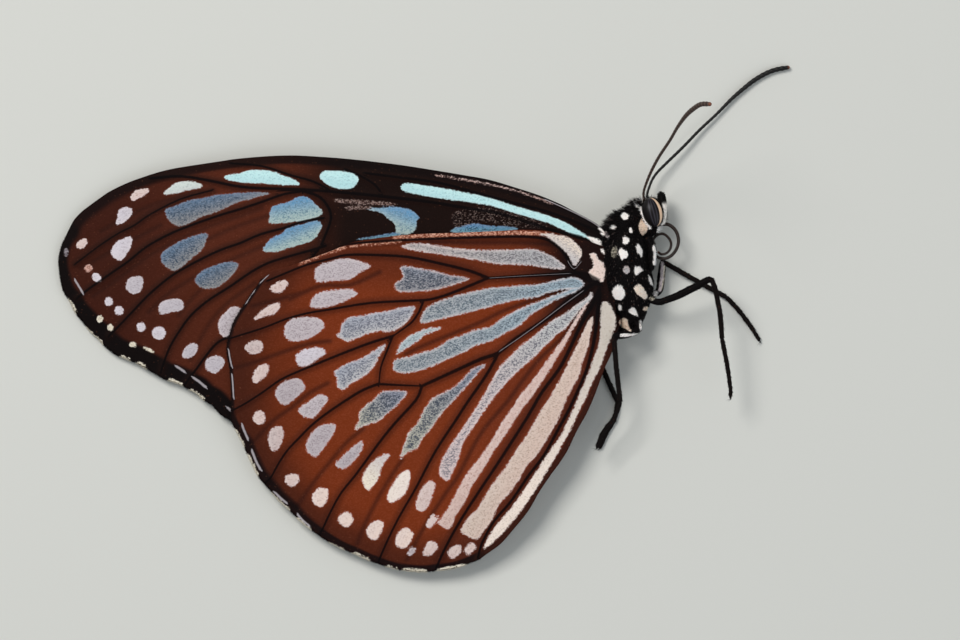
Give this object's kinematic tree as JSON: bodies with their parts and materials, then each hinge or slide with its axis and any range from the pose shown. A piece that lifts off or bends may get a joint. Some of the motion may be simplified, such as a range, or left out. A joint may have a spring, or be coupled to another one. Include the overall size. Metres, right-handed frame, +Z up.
{
  "type": "butterfly",
  "caption": "Tiger butterfly dried with its wings closed over its back, lying on its left side, with feelers, coiled tongue and folded legs.",
  "frame": {"origin": "centre of the butterfly's outline as it lies, on the surface that it lies on", "axes": "+Z up from the surface, out of the insect's right side; +X towards its head, along the wings' length; +Y towards the forewings' front edge and the feelers"},
  "size_m": [0.0636, 0.044, 0.0166],
  "materials": {
    "black_scales": "matte, hairy scales with white spots",
    "forewing": "satin, fine scales",
    "hindwing": "satin, fine scales",
    "eye": "glossy",
    "horn": "glossy"
  },
  "bodies": {
    "root": {"thorax": "black_scales", "abdomen": "black_scales", "head": "black_scales", "right_eye": "eye", "left_eye": "eye", "right_antenna": "horn", "left_antenna": "horn", "right_palp": "black_scales", "left_palp": "black_scales", "proboscis": "horn", "right_forewing": "forewing", "left_forewing": "forewing", "right_hindwing": "hindwing", "left_hindwing": "hindwing", "right_foreleg": "black_scales", "left_foreleg": "black_scales", "right_midleg_femur": "black_scales", "right_midleg_tibia": "black_scales", "right_midleg_tarsus": "black_scales", "left_midleg_femur": "black_scales", "left_midleg_tibia": "black_scales", "left_midleg_tarsus": "black_scales", "right_hindleg_femur": "black_scales", "right_hindleg_tibia": "black_scales", "right_hindleg_tarsus": "black_scales", "left_hindleg_femur": "black_scales", "left_hindleg_tibia": "black_scales", "left_hindleg_tarsus": "black_scales"}
  },
  "joints": []
}
